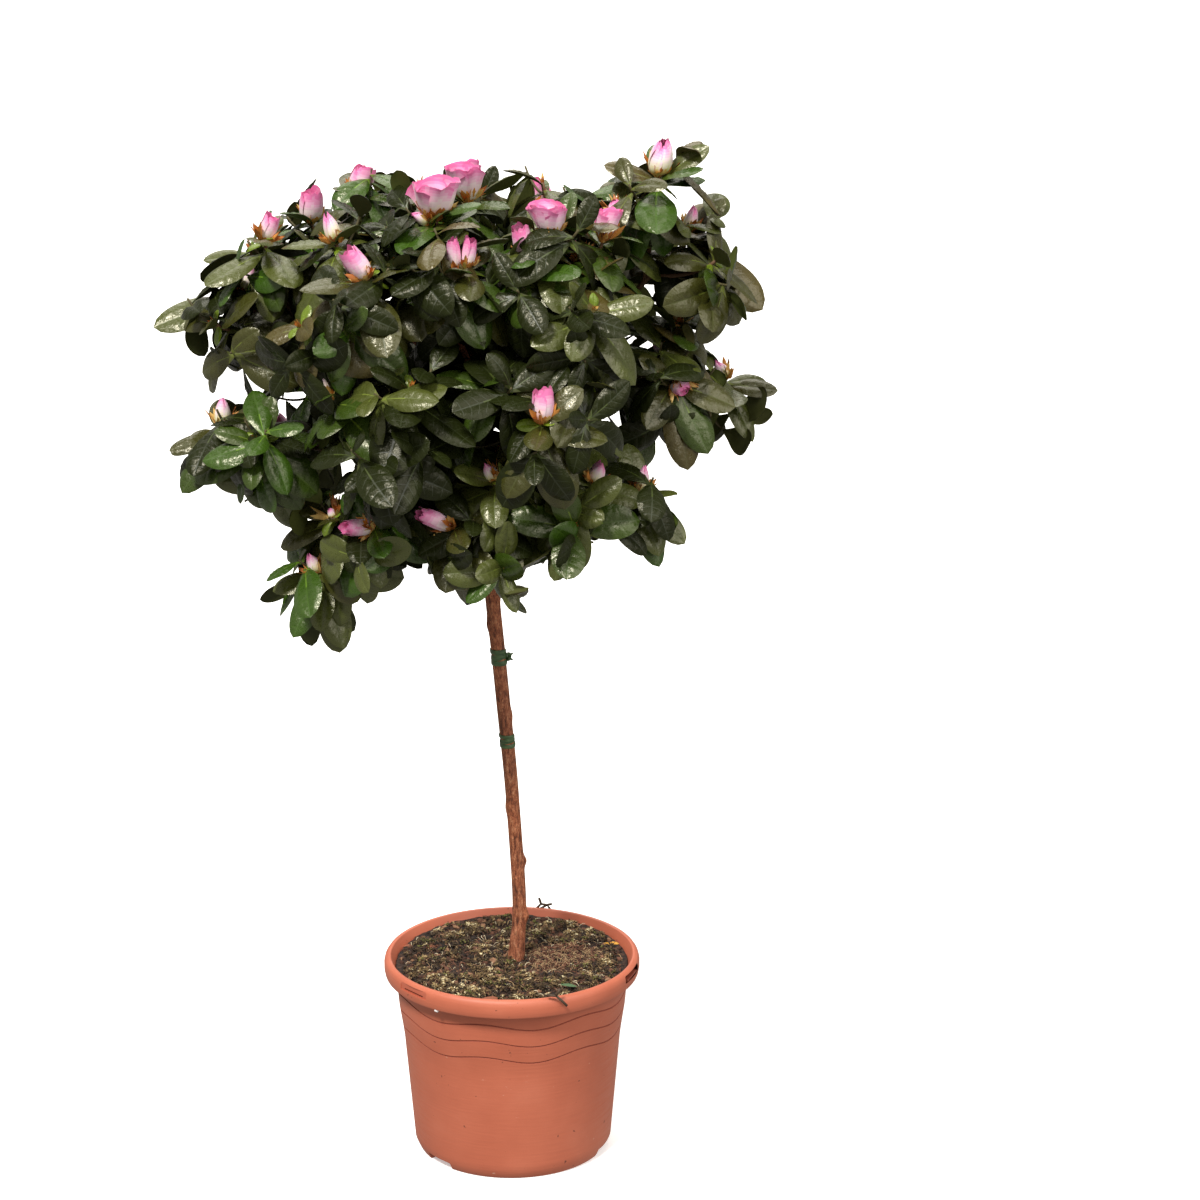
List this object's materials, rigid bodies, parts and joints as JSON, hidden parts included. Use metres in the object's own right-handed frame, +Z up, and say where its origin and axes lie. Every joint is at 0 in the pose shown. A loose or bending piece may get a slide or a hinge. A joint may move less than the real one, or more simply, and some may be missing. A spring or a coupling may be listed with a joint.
{
  "type": "azalea standard tree in a pot",
  "caption": "Azalea trained as a small standard tree: a bare leaning stem, a broad crown of dark leaves with pink buds, in a round grower's pot.",
  "frame": {"origin": "centre of the pot's flat underside", "axes": "+Z up along the pot's axis, -Y towards the front, +X to the right seen from the front"},
  "size_m": [0.4426, 0.3991, 0.757],
  "materials": {
    "pot": "terracotta-coloured moulded plastic, satin, with dust and fine scratches",
    "soil": "moist peat with patches of moss",
    "bark": "reddish-brown bark, finely fissured lengthwise",
    "tape": "olive green tying tape",
    "foliage": "dark green, glossy, sunken veins",
    "blossom": "buds, cream at the foot and pink at the tip, soft sheen"
  },
  "bodies": {
    "root": {"pot": "pot", "soil": "soil", "stem": "bark", "tie_upper": "tape", "tie_lower": "tape", "bough_right_peak": "bark", "bough_top_right": "bark", "bough_front_right_top": "bark", "bough_front_top": "bark", "bough_front_left_top": "bark", "bough_left_top": "bark", "bough_top_centre": "bark", "bough_back_left_top": "bark", "bough_back_top": "bark", "bough_back_right_top": "bark", "bough_left_side": "bark", "bough_front_right_side": "bark", "bough_front_left_side": "bark", "bough_front_low": "bark", "bough_left_low": "bark", "bough_right_low": "bark", "bough_right_side": "bark", "bough_back_side": "bark", "bough_back_left_low": "bark", "bough_back_right_low": "bark", "foliage_right_peak": "foliage", "foliage_top_right": "foliage", "foliage_front_right_top": "foliage", "foliage_front_top": "foliage", "foliage_front_left_top": "foliage", "foliage_left_top": "foliage", "foliage_top_centre": "foliage", "foliage_back_left_top": "foliage", "foliage_back_top": "foliage", "foliage_back_right_top": "foliage", "foliage_left_side": "foliage", "foliage_front_right_side": "foliage", "foliage_front_left_side": "foliage", "foliage_front_low": "foliage", "foliage_left_low": "foliage", "foliage_right_low": "foliage", "foliage_right_side": "foliage", "foliage_back_side": "foliage", "foliage_back_left_low": "foliage", "foliage_back_right_low": "foliage"}
  },
  "joints": []
}
